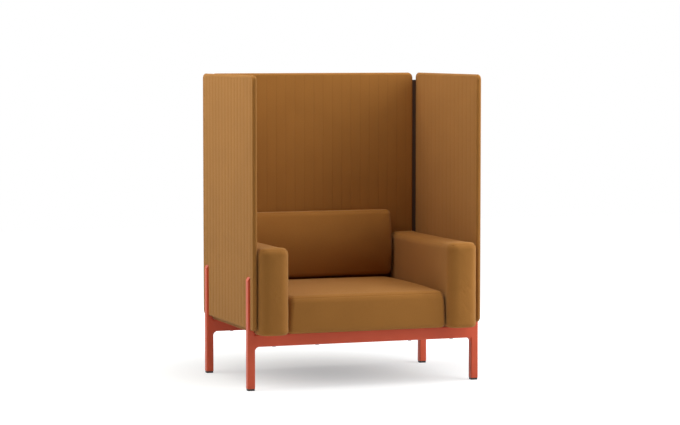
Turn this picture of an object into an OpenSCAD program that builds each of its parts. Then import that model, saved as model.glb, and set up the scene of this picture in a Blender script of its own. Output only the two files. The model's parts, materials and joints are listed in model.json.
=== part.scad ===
// High back lounge chair with three padded screens on a tube frame.
// X runs to the viewer's right, Y to the back and Z up, in millimetres.
// The origin is on the floor, under the middle of the chair.

/* [Overall size] */
// Height of the top of the screens above the floor
overall_h = 1400; // [1250:10:1600]
// Width across the outer faces of the legs
frame_w = 1108; // [1040:2:1400]
// Depth across the outer faces of the legs
frame_d = 665; // [640:1:760]

/* [Legs and rails] */
// Width and depth of a leg, and depth of a rail
leg_size = 34; // [30:1:42]
// Rounding of the long edges of legs and rails
edge_r = 5; // [2:0.5:6]
// Wall of the leg and rail tubes
tube_wall = 3; // [2:0.5:4]
// Height of the underside of the rails
rail_bottom_z = 195; // [150:1:240]
// Height of a rail
rail_h = 55; // [45:1:70]
// Fillet between a leg and the underside of its rail
leg_fillet_r = 20; // [8:1:28]
// Length of the stub that a leg reaches into the rail line
stub_l = 40; // [32:1:60]
// Length of the spigot that slides into a rail
spigot_l = 45; // [25:1:80]
// Thickness of the upright blade that holds a screen
blade_t = 11; // [8:0.5:14]
// Depth to which a blade presses into its screen's padding
blade_sink = 3; // [1:0.5:4]
// Height of a blade above its rail
blade_h = 258; // [210:1:320]
// Drop of the bevel on a blade's top
blade_bevel = 16; // [4:1:24]
// Fillet between a leg's shoulder and the top of its rail
shoulder_fillet_r = 19; // [6:1:19]
// Width of a bearer between the two rails
bearer_w = 30; // [24:1:50]
// Height of a bearer
bearer_h = 40; // [30:1:45]
// Distance between the bearers, centre to centre
bearer_spacing = 560; // [400:5:600]

/* [Levelling feet] */
// Height of a foot pad
foot_h = 8.8; // [6:0.1:14]
// Step in from a leg's face to its foot pad
foot_inset = 1; // [0.5:0.5:4]
// Rounding of a foot pad's corners
foot_corner_r = 6; // [2:0.5:8]
// Radius of a foot's threaded stud
stud_r = 4; // [3:0.5:5]
// Length of a foot's threaded stud
stud_l = 42; // [36:1:60]
// Depth of the stud's socket in the pad
stud_socket = 5.8; // [3:0.1:8]
// Length of the threaded plug in a leg's end
plug_l = 25; // [15:1:35]

/* [Screens] */
// Thickness of a screen
screen_t = 22; // [22:1:30]
// Height of the underside of the screens above the rails
screen_lift = 20; // [20:1:40]
// Corner radius of a screen
screen_corner_r = 35; // [20:1:60]
// Rounding of a screen's rim
screen_rim_r = 10; // [6:0.5:10]
// Thickness of the board inside a screen
board_t = 12; // [8:1:14]
// Step in from a screen's rim to its board
board_inset = 14; // [12:1:30]
// Reach of the side screens in front of the legs
screen_front_reach = 49.5; // [30:0.5:60]
// Reach of the side screens behind the legs
screen_rear_reach = 48.5; // [40:0.5:56]
// Gap between the legs and the back screen
back_screen_gap = 30.5; // [24:0.5:40]
// Gap between the back screen's end and a side screen
corner_gap = 17; // [10:0.5:24]
// Distance between the stitched channels
channel_pitch = 47; // [30:0.5:80]
// Width of a stitched channel
channel_w = 3; // [2:0.5:5]
// Depth of a stitched channel
channel_depth = 1.2; // [0.6:0.1:2]
// Least distance from a channel to a screen's side edge
channel_margin = 25; // [18:1:45]
// Distance from a channel's end to the screen's top and bottom
channel_end = 13; // [12:1:40]
// Thickness of the strip that joins two screens at a corner
strip_t = 10; // [4:0.5:12]

/* [Arms] */
// Width of an arm
arm_w = 144; // [110:1:180]
// Height of an arm above its rubber pads
arm_h = 376.5; // [300:0.5:440]
// Crown on the top of an arm
arm_crown = 3; // [0:0.5:8]
// Reach of the arms in front of the legs
arm_reach = 82.5; // [52:0.5:100]
// Rounding of an arm's edges
arm_r = 28; // [14:1:34]
// Rounding of the upright edges at an arm's front
arm_front_r = 44; // [20:1:54]
// Wall of cover and wadding around an arm's frame
arm_wall = 27; // [24:1:36]
// Thickness of the plywood in an arm
arm_ply_t = 18; // [12:1:22]

/* [Seat] */
// Height of the seat's edge above its rubber pads
seat_h = 169.5; // [140:0.5:200]
// Crown on the seat's top
seat_crown = 15; // [0:0.5:24]
// Reach of the seat in front of the legs
seat_reach = 38.5; // [20:0.5:60]
// Gap between the seat and an arm
seat_side_gap = 2.5; // [1:0.5:6]
// Rounding of the seat's top edge
seat_top_r = 32; // [20:1:44]
// Rounding of the seat's bottom edge
seat_bottom_r = 18; // [8:1:30]
// Wall of cover and wadding at the seat's front and sides
seat_wall = 34; // [31:1:44]
// Wall of cover and wadding at the seat's back
seat_rear_wall = 20; // [19:1:26]
// Width of a beam in the seat's frame
beam_w = 60; // [50:1:80]
// Height of a beam in the seat's frame
beam_h = 36; // [24:1:50]
// Thickness of the cloth under the seat
cloth_t = 1; // [0.6:0.1:2]
// Width of a webbing strap
strap_w = 50; // [40:1:60]
// Thickness of a webbing strap
strap_t = 2; // [1.5:0.5:3]
// Distance between the webbing straps, centre to centre
strap_pitch = 84; // [70:1:120]
// Height of the foam block on the webbing
seat_foam_h = 90; // [60:1:92]

/* [Back cushion] */
// Thickness of the back cushion
back_t = 97; // [70:1:130]
// Height of the back cushion
back_h = 314; // [220:1:420]
// Gap between the back cushion and an arm
back_side_gap = 16.5; // [4:0.5:40]
// Height of the back cushion's underside over the seat's edge
back_rise = 10.6; // [10.4:0.2:20]
// Rounding of the back cushion's edges
back_r = 28; // [18:1:34]
// Crown on the front of the back cushion
back_crown = 9; // [0:0.5:20]
// Wall of cover and wadding around the back cushion's foam
back_wall = 32; // [28:1:40]
// Thickness of the plywood in the back cushion
back_ply_t = 9; // [6:0.5:15]
// Thickness of the clips that hang the back cushion
clip_t = 4; // [2:0.5:6]

/* [Fasteners] */
// Radius of the bolts that hold the seat and the arms
bolt_r = 4; // [3:0.5:5]
// Radius of the screws that hold the screens and the rails
screw_r = 3; // [2:0.5:3.5]
// Thickness of the rubber pads under the seat and the arms
pad_t = 2.5; // [2:0.5:6]
// Thickness of the brackets that hold the back screen
bracket_t = 5; // [4:0.5:8]
// Width of a bracket
bracket_w = 40; // [30:1:60]
// Height of a bracket on the back screen
bracket_rise = 150; // [110:1:170]
// Distance between the two brackets, centre to centre
bracket_spacing = 400; // [200:5:480]

/* [Hidden] */

// Clearances and small parts
cut = 1;                    // overrun of a cut past the face it opens
slip = 0.3;                 // gap around a piece that slides into place
hole_slip = 0.2;            // gap around a screw or bolt in its hole
thread_slip = 0.05;         // running gap around a foot's stud
foot_gap = 0.2;             // gap between a leg's end and its foot pad
shoulder_step = 1;          // step of a leg's shoulder back from its screen's inner face
bolt_head_r = 2 * bolt_r;
bolt_head_h = 4.5;
screw_head_r = 2.2 * screw_r;
screw_head_h = 2.5;
screw_grip = 15;            // depth of a rail screw in its spigot
blade_grip = 6;             // depth of a screen screw in its blade
upper_screw_l = 20;         // bracket screw into the back screen's board
lower_screw_l = 11;         // bracket screw into the rear rail
nut_wall = 1.4;
nut_barrel_l = 11;
nut_flange_r = 11;
nut_flange_t = 1.5;
rubber_pad_r = 13;
strap_end_gap = 10;
clip_w = 70;
clip_h = 40;

// Soft forms
soft_corner = 4;            // extra rounding of a form's upright edges
least_corner_r = 2;
arm_pull = 1;               // how far the sides pull in between the corners
seat_pull = 1.5;
back_pull = 3;
seat_belly = 3;             // how far the sides swell at mid height
arm_bottom_share = 0.6;     // rounding of an arm's bottom edge, of its other edges
back_rear_share = 0.35;     // rounding of the back cushion's rear edge
seat_crown_shift_share = 0.15;
clip_share = 0.6;
cap_shares = [0.35, 0.7];
corner_steps = 4;
side_steps = 4;
edge_steps = 4;
wall_steps = 4;

// Places of screws along what they hold
screen_screw_shares = [0.3, 0.85];
rail_screw_shares = [0.3, 0.7];
upper_screw_shares = [0.45, 0.85];
lower_screw_share = 0.5;
$fn = 48;

// Places worked out from the sizes above
half_w = frame_w / 2;
half_d = frame_d / 2;
leg_x = half_w - leg_size / 2;
leg_y = half_d - leg_size / 2;
leg_inner_x = half_w - leg_size;
leg_bottom_z = foot_h + foot_gap;
rail_top_z = rail_bottom_z + rail_h;
stub_end_x = leg_inner_x - stub_l;
leg_bore = leg_size - 2 * tube_wall;
leg_bore_top_z = rail_bottom_z - leg_size / 2;
blade_inner_x = half_w - blade_t;
screen_inner_x = blade_inner_x + blade_sink - screen_t;
shoulder_x = screen_inner_x + shoulder_step;
screen_bottom_z = rail_top_z + screen_lift;
screen_h = overall_h - screen_bottom_z;
side_front_y = -half_d - screen_front_reach;
side_rear_y = half_d + screen_rear_reach;
side_l = side_rear_y - side_front_y;
side_mid_y = (side_front_y + side_rear_y) / 2;
back_front_y = half_d + back_screen_gap;
back_mid_y = back_front_y + screen_t / 2;
back_rear_y = back_front_y + screen_t;
back_half_w = screen_inner_x - corner_gap;
screen_pad_t = (screen_t - board_t) / 2;
soft_bottom_z = rail_top_z + pad_t;
arm_outer_x = screen_inner_x - slip;
arm_inner_x = arm_outer_x - arm_w;
arm_mid_x = (arm_outer_x + arm_inner_x) / 2;
arm_front_y = -half_d - arm_reach;
arm_rear_y = back_front_y - slip;
arm_rear_r = arm_r + soft_corner;
seat_half_w = arm_inner_x - seat_side_gap;
seat_front_y = -half_d - seat_reach;
seat_rear_y = back_front_y - bracket_t - slip;
seat_edge_z = soft_bottom_z + seat_h;
seat_in_x = seat_half_w - seat_wall;
seat_in_front_y = seat_front_y + seat_wall;
seat_in_rear_y = seat_rear_y - seat_rear_wall;
beam_bottom_z = soft_bottom_z + cloth_t;
beam_top_z = beam_bottom_z + beam_h;
foam_bottom_z = beam_top_z + strap_t;
foam_top_z = foam_bottom_z + seat_foam_h;
seat_bolt_x = seat_in_x - 2 * beam_w;
back_cushion_half_w = arm_inner_x - back_side_gap;
back_cushion_rear_y = back_front_y - clip_t;
back_cushion_front_y = back_cushion_rear_y - back_t;
back_cushion_bottom_z = seat_edge_z + back_rise;
screen_screw_zs = [for (s = screen_screw_shares) rail_top_z + s * (blade_h - blade_bevel)];
rail_screw_xs = [for (s = rail_screw_shares) stub_end_x - s * spigot_l];
arm_bolt_x = min(arm_mid_x, stub_end_x - spigot_l - bolt_head_r);
nut_barrel_r = bolt_r + nut_wall;
bracket_z = rail_top_z - bracket_t - slip;
bracket_drop = rail_h - 2 * edge_r;
upper_screw_zs = [for (s = upper_screw_shares) bracket_z + s * bracket_rise];
lower_screw_z = bracket_z - lower_screw_share * bracket_drop;

// The chair's middle lies halfway between the arms' fronts and the back screen's rear
front_reach = max(-arm_front_y, -side_front_y, -seat_front_y);
rear_reach = max(back_rear_y, side_rear_y);
mid_y = (front_reach - rear_reach) / 2;

coral = "#b4533f";
ochre = "#96622f";
ochre_inner = "#83542a";
dark_brown = "#3c2410";
plywood = "#c9a878";
foam_cream = "#e3d7b4";
webbing_grey = "#4c4a48";
steel_grey = "#8d8f92";
rubber_black = "#1d1b1a";
felt_grey = "#6b6661";

// Carries a shape to the chair's own place, and mirrors it for the left side
module placed(side = 1) {
    translate([0, mid_y, 0])
        if (side < 0) mirror([1, 0, 0]) children();
        else children();
}

module rounded_rect(w, h, r) {
    square([w - 2 * r, h], center = true);
    square([w, h - 2 * r], center = true);
    for (x = [-1, 1], y = [-1, 1])
        translate([x * (w / 2 - r), y * (h / 2 - r)]) circle(r);
}

// Stands a flat shape, drawn with x across and y up, in the plane of X and Z
module upright(depth) {
    translate([0, depth / 2, 0]) rotate([90, 0, 0]) linear_extrude(depth) children();
}

// Runs a section, drawn with x as depth and y up, along X from x0 to x1
module along_x(x0, x1) {
    translate([x0, 0, 0]) rotate([90, 0, 90]) linear_extrude(x1 - x0) children();
}

// Corner piece with a hollow round face, in the corner of two straight edges
module fillet(r) {
    difference() {
        square(r);
        circle(r);
    }
}

// Legs: a post ends in a shoulder under its screen, and a blade goes on up the screen's face

module leg(side, row) {
    color(coral) placed(side) translate([0, row * leg_y, 0]) difference() {
        leg_body();
        leg_holes();
    }
}

module leg_body() {
    translate([leg_x, 0, leg_bottom_z])
        linear_extrude(rail_top_z - leg_bottom_z - edge_r) rounded_rect(leg_size, leg_size, edge_r);
    along_x(stub_end_x, half_w - edge_r) translate([0, rail_bottom_z + rail_h / 2])
        rounded_rect(leg_size, rail_h, edge_r);
    along_x(stub_end_x - spigot_l, stub_end_x) translate([0, rail_bottom_z + rail_h / 2])
        square([leg_bore - 2 * slip, rail_h - 2 * (tube_wall + slip)], center = true);
    translate([(half_w + shoulder_x) / 2, 0, rail_bottom_z + edge_r])
        linear_extrude(screen_bottom_z - slip - rail_bottom_z - edge_r)
            rounded_rect(half_w - shoulder_x, leg_size, edge_r);
    blade();
    upright(leg_size - 2 * edge_r) {
        translate([leg_inner_x - leg_fillet_r, rail_bottom_z - leg_fillet_r]) fillet(leg_fillet_r);
        translate([shoulder_x - shoulder_fillet_r, rail_top_z + shoulder_fillet_r])
            mirror([0, 1]) fillet(shoulder_fillet_r);
    }
}

module blade() {
    bottom_z = rail_bottom_z + edge_r;
    intersection() {
        upright(leg_size) polygon([
            [blade_inner_x, bottom_z], [half_w, bottom_z],
            [half_w, rail_top_z + blade_h - blade_bevel], [blade_inner_x, rail_top_z + blade_h]
        ]);
        translate([half_w - leg_size / 2, 0, bottom_z])
            linear_extrude(blade_h + rail_h) rounded_rect(leg_size, leg_size, min(edge_r, blade_t / 2));
    }
}

module leg_holes() {
    translate([leg_x, 0, leg_bottom_z - cut])
        linear_extrude(leg_bore_top_z - leg_bottom_z + cut) square(leg_bore, center = true);
    for (z = screen_screw_zs)
        translate([blade_inner_x - cut, 0, z]) rotate([0, 90, 0])
            cylinder(h = blade_grip + cut, r = screw_r + hole_slip);
    for (x = rail_screw_xs)
        translate([x, 0, rail_bottom_z])
            cylinder(h = tube_wall + screw_grip + hole_slip, r = screw_r + hole_slip);
}

module front_left_leg() { leg(-1, -1); }
module front_right_leg() { leg(1, -1); }
module rear_left_leg() { leg(-1, 1); }
module rear_right_leg() { leg(1, 1); }

// Rails and bearers

module rail(row) {
    color(coral) placed() translate([0, row * leg_y, 0]) difference() {
        along_x(-stub_end_x, stub_end_x) translate([0, rail_bottom_z + rail_h / 2]) difference() {
            rounded_rect(leg_size, rail_h, edge_r);
            square([leg_bore, rail_h - 2 * tube_wall], center = true);
        }
        for (x = concat(rail_screw_xs, -rail_screw_xs))
            translate([x, 0, rail_bottom_z - cut])
                cylinder(h = tube_wall + 2 * cut, r = screw_r + hole_slip);
        for (x = [seat_bolt_x, -seat_bolt_x, arm_bolt_x, -arm_bolt_x])
            translate([x, 0, rail_bottom_z - cut])
                cylinder(h = rail_h + 2 * cut, r = bolt_r + hole_slip);
        if (row > 0) translate([0, -row * leg_y, 0]) at_lower_screws() flush_screw_hole(lower_screw_l);
    }
}

module front_rail() { rail(-1); }
module rear_rail() { rail(1); }

module bearer(side) {
    inner_y = half_d - leg_size;
    color(coral) placed(side)
        translate([bearer_spacing / 2, 0, rail_top_z - bearer_h / 2]) rotate([90, 0, 0])
            linear_extrude(2 * inner_y, center = true) difference() {
                rounded_rect(bearer_w, bearer_h, edge_r);
                square([bearer_w - 2 * tube_wall, bearer_h - 2 * tube_wall], center = true);
            }
}

module left_bearer() { bearer(-1); }
module right_bearer() { bearer(1); }

module rail_screws() {
    color(steel_grey) placed()
        for (side = [-1, 1], row = [-1, 1], x = rail_screw_xs)
            translate([side * x, row * leg_y, rail_bottom_z])
                cylinder(h = tube_wall + screw_grip, r = screw_r);
}

// Levelling feet

module leg_plugs() {
    color(rubber_black) placed()
        for (side = [-1, 1], row = [-1, 1])
            translate([side * leg_x, row * leg_y, leg_bottom_z]) linear_extrude(plug_l) difference() {
                square(leg_bore, center = true);
                circle(stud_r + thread_slip);
            }
}

module foot_pad(side, row) {
    pad_w = leg_size - 2 * foot_inset;
    color(rubber_black) placed(side) translate([leg_x, row * leg_y, 0]) difference() {
        linear_extrude(foot_h) rounded_rect(pad_w, pad_w, foot_corner_r);
        translate([0, 0, foot_h - stud_socket]) cylinder(h = stud_socket + cut, r = stud_r + hole_slip);
    }
}

module foot_stud(side, row) {
    color(steel_grey) placed(side)
        translate([leg_x, row * leg_y, foot_h - stud_socket]) cylinder(h = stud_l, r = stud_r);
}

module front_left_foot_pad() { foot_pad(-1, -1); }
module front_right_foot_pad() { foot_pad(1, -1); }
module rear_left_foot_pad() { foot_pad(-1, 1); }
module rear_right_foot_pad() { foot_pad(1, 1); }
module front_left_foot_stud() { foot_stud(-1, -1); }
module front_right_foot_stud() { foot_stud(1, -1); }
module rear_left_foot_stud() { foot_stud(-1, 1); }
module rear_right_foot_stud() { foot_stud(1, 1); }

// Screens: a panel lies in the plane of X and Z, with its middle at the origin

// Half of a screen's section through its rim, rounded on both faces
module rim_section() {
    flat_t = screen_t - 2 * screen_rim_r;
    intersection() {
        union() {
            square([2 * screen_rim_r, flat_t], center = true);
            for (y = [-1, 1]) translate([0, y * flat_t / 2]) circle(screen_rim_r);
        }
        translate([0, -screen_t / 2]) square([screen_rim_r, screen_t]);
    }
}

// Each turn adds one edge's rim and the round corner at its end
module padded_panel(w, h) {
    turn_r = screen_corner_r - screen_rim_r;
    upright(screen_t) rounded_rect(w - 2 * screen_rim_r, h - 2 * screen_rim_r, turn_r);
    for (q = [0 : 3]) {
        reach = (q % 2 == 0 ? w : h) / 2;
        half_run = (q % 2 == 0 ? h : w) / 2 - screen_corner_r;
        rotate([0, 90 * q, 0]) {
            translate([reach - screen_rim_r, 0, 0])
                linear_extrude(2 * half_run, center = true) rim_section();
            translate([reach - screen_corner_r, 0, half_run]) rotate([90, 0, 0])
                rotate_extrude(angle = 90) translate([turn_r, 0]) rim_section();
        }
    }
}

module panel_channels(w, h) {
    count = floor((w - 2 * channel_margin) / channel_pitch) + 1;
    for (i = [0 : count - 1], face = [-1, 1])
        translate([(i - (count - 1) / 2) * channel_pitch, face * screen_t / 2, 0])
            cube([channel_w, 2 * channel_depth, h - 2 * channel_end], center = true);
}

module panel_board(w, h) {
    cube([w - 2 * board_inset, board_t, h - 2 * board_inset], center = true);
}

module panel_cover(w, h) {
    difference() {
        padded_panel(w, h);
        panel_channels(w, h);
        panel_board(w, h);
    }
}

module at_side_screen() {
    translate([screen_inner_x + screen_t / 2, side_mid_y, screen_bottom_z + screen_h / 2])
        rotate([0, 0, 90]) children();
}

module at_back_screen() {
    translate([0, back_mid_y, screen_bottom_z + screen_h / 2]) children();
}

// Screws of the right-hand side screen, from its inner face into the blades
module at_screen_screws() {
    for (row = [-1, 1], z = screen_screw_zs)
        translate([screen_inner_x + screen_pad_t, row * leg_y, z]) rotate([0, 90, 0]) children();
}

module side_board(side) {
    color(felt_grey) placed(side) difference() {
        at_side_screen() panel_board(side_l, screen_h);
        at_screen_screws() translate([0, 0, -cut])
            cylinder(h = board_t + 2 * cut, r = screw_r + hole_slip);
    }
}

// The covers have a pressed-in place for each blade
module side_cover(side) {
    color(ochre) placed(side) difference() {
        at_side_screen() panel_cover(side_l, screen_h);
        for (row = [-1, 1])
            translate([blade_inner_x, row * leg_y - leg_size / 2 - slip, screen_bottom_z - cut])
                cube([blade_t, leg_size + 2 * slip, blade_h - screen_lift + slip + cut]);
        at_screen_screws() {
            translate([0, 0, -screen_pad_t - cut])
                cylinder(h = screen_pad_t + 2 * cut, r = screw_head_r + slip);
            cylinder(h = screen_t, r = screw_r + hole_slip);
        }
    }
}

module left_screen_board() { side_board(-1); }
module right_screen_board() { side_board(1); }
module left_screen_cover() { side_cover(-1); }
module right_screen_cover() { side_cover(1); }

module back_screen_board() {
    color(felt_grey) placed() difference() {
        at_back_screen() panel_board(2 * back_half_w, screen_h);
        at_upper_screws() flush_screw_hole(upper_screw_l);
    }
}

module back_screen_cover() {
    color(ochre_inner) placed() difference() {
        at_back_screen() panel_cover(2 * back_half_w, screen_h);
        at_upper_screws() flush_screw_hole(upper_screw_l);
    }
}

module corner_strip(side) {
    strip_h = screen_h - 2 * screen_corner_r;
    color(dark_brown) placed(side)
        translate([back_half_w, back_mid_y - strip_t / 2, screen_bottom_z + screen_corner_r])
            cube([corner_gap, strip_t, strip_h]);
}

module left_corner_strip() { corner_strip(-1); }
module right_corner_strip() { corner_strip(1); }

module screen_screws() {
    shank_l = board_t + screen_pad_t - blade_sink + blade_grip;
    color(steel_grey) for (side = [-1, 1]) placed(side) at_screen_screws() {
        cylinder(h = shank_l, r = screw_r);
        translate([0, 0, -screw_head_h]) cylinder(h = screw_head_h, r = screw_head_r);
    }
}

// Brackets that carry the back screen from the rear rail

module bracket() {
    drop_z = bracket_z + bracket_t - bracket_drop;
    along_x(-bracket_w / 2, bracket_w / 2) polygon([
        [half_d, drop_z], [half_d + bracket_t, drop_z],
        [half_d + bracket_t, bracket_z], [back_front_y, bracket_z],
        [back_front_y, bracket_z + bracket_rise], [back_front_y - bracket_t, bracket_z + bracket_rise],
        [back_front_y - bracket_t, bracket_z + bracket_t], [half_d, bracket_z + bracket_t]
    ]);
}

module at_brackets() {
    for (side = [-1, 1]) translate([side * bracket_spacing / 2, 0, 0]) children();
}

// Each screw's frame has its head's outer face at the origin and its tip along Z
module at_upper_screws() {
    at_brackets() for (z = upper_screw_zs)
        translate([0, back_front_y - bracket_t, z]) rotate([-90, 0, 0]) children();
}

module at_lower_screws() {
    at_brackets() translate([0, half_d + bracket_t, lower_screw_z]) rotate([90, 0, 0]) children();
}

module flush_screw(l) {
    cylinder(h = l, r = screw_r);
    cylinder(h = screw_head_h, r = screw_head_r);
}

module flush_screw_hole(l) {
    translate([0, 0, -cut]) {
        cylinder(h = l + cut + hole_slip, r = screw_r + hole_slip);
        cylinder(h = screw_head_h + cut, r = screw_head_r + hole_slip);
    }
}

module back_brackets() {
    color(coral) placed() difference() {
        at_brackets() bracket();
        at_upper_screws() flush_screw_hole(upper_screw_l);
        at_lower_screws() flush_screw_hole(lower_screw_l);
    }
}

module bracket_screws() {
    color(steel_grey) placed() {
        at_upper_screws() flush_screw(upper_screw_l);
        at_lower_screws() flush_screw(lower_screw_l);
    }
}

// Upholstered forms
// A pillow stands on the floor plane, w wide, d deep and h high before its crown.
// Rings of points run around it from the bottom to the top. Each ring is a rounded
// rectangle, stepped in from the outline, and the rings of the two caps shrink to a point.

function corner_points(a, b, r, q) = [
    for (i = [0 : corner_steps])
        let (t = 90 * (q + i / corner_steps),
             cx = (q == 0 || q == 3 ? 1 : -1) * (a - r),
             cy = (q < 2 ? 1 : -1) * (b - r))
        [cx + r * cos(t), cy + r * sin(t)]
];

function side_points(from, to) = [
    for (i = [1 : side_steps - 1]) from + (to - from) * i / side_steps
];

function ring_points(a, b, rear_r, front_r) =
    let (corners = [for (q = [0 : 3]) corner_points(a, b, q < 2 ? rear_r : front_r, q)])
    [for (q = [0 : 3]) each concat(corners[q],
        side_points(corners[q][corner_steps], corners[(q + 1) % 4][0]))];

// Levels of a pillow: the step in from the outline, the height and the shrink to the middle
function bottom_levels(r) = [
    for (f = cap_shares) [r, 0, f],
    for (i = [0 : edge_steps]) let (t = 90 * i / edge_steps) [r * (1 - sin(t)), r * (1 - cos(t)), 1]
];

function top_levels(r, h) = [
    for (i = [0 : edge_steps]) let (t = 90 * i / edge_steps) [r * (1 - cos(t)), h - r * (1 - sin(t)), 1],
    for (i = [len(cap_shares) - 1 : -1 : 0]) [r, h, cap_shares[i]]
];

function wall_levels(z0, z1) = [
    for (i = [1 : wall_steps - 1]) [0, z0 + (z1 - z0) * i / wall_steps, 1]
];

// One point of a pillow: the sides pull in between the corners, and the top is crowned
function pillow_point(p, z, w, d, h, crown, shift, pull) =
    let (u = 2 * p[0] / w, v = 2 * p[1] / d,
         x = p[0] - pull * u * (1 - v * v),
         y = p[1] - pull * v * (1 - u * u),
         lift = crown * (1 - pow(u, 4)) * (1 - pow((v - shift) / (1 + shift), 2)))
    [x, y, z + lift * z / h];

module pillow(w, d, h, rear_r, front_r, top_r, bottom_r, crown = 0, shift = 0, pull = 0, belly = 0) {
    levels = concat(bottom_levels(bottom_r), wall_levels(bottom_r, h - top_r), top_levels(top_r, h));
    count = len(levels);
    size = 4 * (corner_steps + side_steps);
    rings = [for (level = levels)
        let (inset = level[0] + belly * pow(2 * level[1] / h - 1, 2),
             ring = ring_points(w / 2 - inset, d / 2 - inset,
                 max(rear_r - inset, least_corner_r), max(front_r - inset, least_corner_r)))
        [for (p = ring) pillow_point(p * level[2], level[1], w, d, h, crown, shift, pull)]];
    ends = [pillow_point([0, 0], 0, w, d, h, crown, shift, pull),
            pillow_point([0, 0], h, w, d, h, crown, shift, pull)];
    bottom_end = count * size;
    polyhedron(
        points = concat([for (ring = rings) each ring], ends),
        faces = concat(
            [for (k = [0 : count - 2], i = [0 : size - 1])
                let (j = (i + 1) % size)
                each [[k * size + i, (k + 1) * size + i, (k + 1) * size + j],
                      [k * size + i, (k + 1) * size + j, k * size + j]]],
            [for (i = [0 : size - 1]) [bottom_end, i, (i + 1) % size]],
            [for (i = [0 : size - 1])
                [bottom_end + 1, (count - 1) * size + (i + 1) % size, (count - 1) * size + i]]
        )
    );
}

// A box given by its low and high corners
module block(low, high) {
    translate(low) cube(high - low);
}

// Arms: a plywood base and side board, a foam block and a cover

arm_in_x0 = arm_inner_x + arm_wall;
arm_in_x1 = arm_outer_x - arm_wall;
arm_in_y0 = arm_front_y + arm_wall;
arm_in_y1 = arm_rear_y - arm_wall;
arm_ply_z = soft_bottom_z + arm_ply_t;
arm_in_z1 = soft_bottom_z + arm_h - arm_wall;
arm_ply_x = arm_in_x1 - arm_ply_t;

module at_arm_bolts() {
    for (row = [-1, 1]) translate([arm_bolt_x, row * leg_y, 0]) children();
}

module arm_frame(side) {
    color(plywood) placed(side) difference() {
        union() {
            block([arm_in_x0, arm_in_y0, soft_bottom_z], [arm_in_x1, arm_in_y1, arm_ply_z]);
            block([arm_ply_x, arm_in_y0, soft_bottom_z], [arm_in_x1, arm_in_y1, arm_in_z1]);
        }
        at_arm_bolts() nut_pocket(soft_bottom_z, arm_ply_z);
    }
}

module arm_foam(side) {
    color(foam_cream) placed(side)
        block([arm_in_x0, arm_in_y0, arm_ply_z], [arm_ply_x, arm_in_y1, arm_in_z1]);
}

module arm_cover(side) {
    arm_l = arm_rear_y - arm_front_y;
    color(ochre) placed(side) difference() {
        translate([arm_mid_x, (arm_front_y + arm_rear_y) / 2, soft_bottom_z])
            pillow(arm_w, arm_l, arm_h, arm_rear_r, arm_front_r, arm_r, arm_bottom_share * arm_r,
                crown = arm_crown, pull = arm_pull);
        block([arm_in_x0, arm_in_y0, soft_bottom_z - cut], [arm_in_x1, arm_in_y1, arm_in_z1]);
    }
}

module left_arm_frame() { arm_frame(-1); }
module right_arm_frame() { arm_frame(1); }
module left_arm_foam() { arm_foam(-1); }
module right_arm_foam() { arm_foam(1); }
module left_arm_cover() { arm_cover(-1); }
module right_arm_cover() { arm_cover(1); }

// Bolts come up through the rails and rubber pads into tee nuts

module bolt(top_z) {
    translate([0, 0, rail_bottom_z]) {
        cylinder(h = top_z - rail_bottom_z - nut_flange_t, r = bolt_r);
        translate([0, 0, -bolt_head_h]) cylinder(h = bolt_head_h, r = bolt_head_r);
    }
}

module nut_pocket(low_z, high_z) {
    translate([0, 0, low_z - cut]) cylinder(h = high_z - low_z + 2 * cut, r = nut_barrel_r + hole_slip);
    translate([0, 0, high_z - nut_flange_t]) cylinder(h = nut_flange_t + cut, r = nut_flange_r + hole_slip);
}

module tee_nut(top_z) {
    translate([0, 0, top_z]) difference() {
        union() {
            translate([0, 0, -nut_barrel_l]) cylinder(h = nut_barrel_l, r = nut_barrel_r);
            translate([0, 0, -nut_flange_t]) cylinder(h = nut_flange_t, r = nut_flange_r);
        }
        translate([0, 0, -nut_barrel_l - cut]) cylinder(h = nut_barrel_l + 2 * cut, r = bolt_r + hole_slip);
    }
}

module rubber_pad() {
    translate([0, 0, rail_top_z]) difference() {
        cylinder(h = pad_t, r = rubber_pad_r);
        translate([0, 0, -cut]) cylinder(h = pad_t + 2 * cut, r = bolt_r + hole_slip);
    }
}

module at_seat_bolts() {
    for (side = [-1, 1], row = [-1, 1]) translate([side * seat_bolt_x, row * leg_y, 0]) children();
}

module arm_bolts() {
    color(steel_grey) for (side = [-1, 1]) placed(side) at_arm_bolts() bolt(arm_ply_z);
}

module seat_bolts() {
    color(steel_grey) placed() at_seat_bolts() bolt(beam_top_z);
}

module tee_nuts() {
    color(steel_grey) {
        placed() at_seat_bolts() tee_nut(beam_top_z);
        for (side = [-1, 1]) placed(side) at_arm_bolts() tee_nut(arm_ply_z);
    }
}

module rubber_pads() {
    color(rubber_black) {
        placed() at_seat_bolts() rubber_pad();
        for (side = [-1, 1]) placed(side) at_arm_bolts() rubber_pad();
    }
}

// Seat: four beams, webbing, a foam block, a cover and a cloth underneath

module long_beam(y0) {
    color(plywood) placed() difference() {
        block([-seat_in_x, y0, beam_bottom_z], [seat_in_x, y0 + beam_w, beam_top_z]);
        at_seat_bolts() nut_pocket(beam_bottom_z, beam_top_z);
    }
}

module short_beam(side) {
    color(plywood) placed(side)
        block([seat_in_x - beam_w, seat_in_front_y + beam_w, beam_bottom_z],
            [seat_in_x, seat_in_rear_y - beam_w, beam_top_z]);
}

module seat_front_beam() { long_beam(seat_in_front_y); }
module seat_rear_beam() { long_beam(seat_in_rear_y - beam_w); }
module seat_left_beam() { short_beam(-1); }
module seat_right_beam() { short_beam(1); }

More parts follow.
